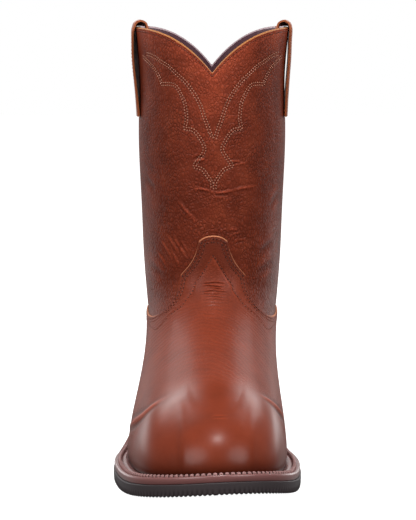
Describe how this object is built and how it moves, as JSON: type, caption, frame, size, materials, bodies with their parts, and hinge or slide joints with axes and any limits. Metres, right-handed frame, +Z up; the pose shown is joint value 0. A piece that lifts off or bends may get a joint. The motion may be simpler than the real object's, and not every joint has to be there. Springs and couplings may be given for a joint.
{
  "type": "western boot",
  "caption": "Empty western boot for the right foot with a welted rubber sole, a low heel, a V-cut collar and looped pull straps.",
  "frame": {"origin": "middle of the sole's box, seen from above, on the plane that the boot stands on", "axes": "the toe points along -Y, the inner side of the foot lies towards +X, and +Z is up"},
  "size_m": [0.1134, 0.3021, 0.276],
  "materials": {
    "shaft_leather": "tumbled grain, satin",
    "vamp_leather": "smooth, polished",
    "strap_leather": "smooth, with bare cut edges",
    "insole_leather": "matte",
    "welt_leather": "matte, stitched",
    "sole_rubber": "matte, moulded"
  },
  "bodies": {
    "root": {"upper": "shaft_leather", "side_seam_inner": "shaft_leather", "side_seam_outer": "shaft_leather", "vamp": "vamp_leather", "counter": "vamp_leather", "pull_strap_inner": "strap_leather", "pull_strap_outer": "strap_leather", "insole": "insole_leather", "welt": "welt_leather", "outsole": "sole_rubber", "heel": "sole_rubber"}
  },
  "joints": []
}
